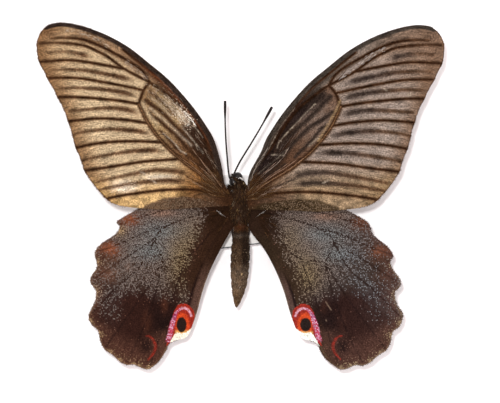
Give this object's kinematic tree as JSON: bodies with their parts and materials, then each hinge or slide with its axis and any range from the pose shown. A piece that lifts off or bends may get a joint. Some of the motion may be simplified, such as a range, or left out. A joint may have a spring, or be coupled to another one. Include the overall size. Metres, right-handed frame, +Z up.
{
  "type": "spread swallowtail butterfly specimen",
  "caption": "Spread, tailless female swallowtail butterfly with scalloped hindwings, held flat on a pin over a small white board, as a still life-size museum model.",
  "frame": {"origin": "centre of the stand base's underside, below the pin through the thorax", "axes": "+X across the wings to the butterfly's right, +Y forward to the head, +Z up"},
  "size_m": [0.1061, 0.0903, 0.0165],
  "materials": {
    "forewing": "scaled membrane, tan between dark brown veins and streaks",
    "hindwing": "scaled membrane, dark brown dusted blue-grey, with red ring spots",
    "body": "short dark brown hair and scales",
    "eye": "glossy black compound eye",
    "feeler": "smooth black chitin",
    "leg": "dark brown chitin",
    "stand_board": "matt white foam board",
    "pin": "polished steel pin",
    "card": "bare white card with a thin dark border line"
  },
  "bodies": {
    "root": {"stand_base": "stand_board", "stand_rod": "pin", "data_card": "card", "thorax": "body", "abdomen": "body", "head": "body", "palpus_left": "body", "palpus_right": "body", "eye_left": "eye", "eye_right": "eye", "antenna_left": "feeler", "antenna_right": "feeler", "proboscis": "feeler", "foreleg_left": "leg", "foreleg_right": "leg", "midleg_left": "leg", "midleg_right": "leg", "hindleg_left": "leg", "hindleg_right": "leg", "forewing_left": "forewing", "forewing_right": "forewing", "hindwing_left": "hindwing", "hindwing_right": "hindwing"}
  },
  "joints": []
}
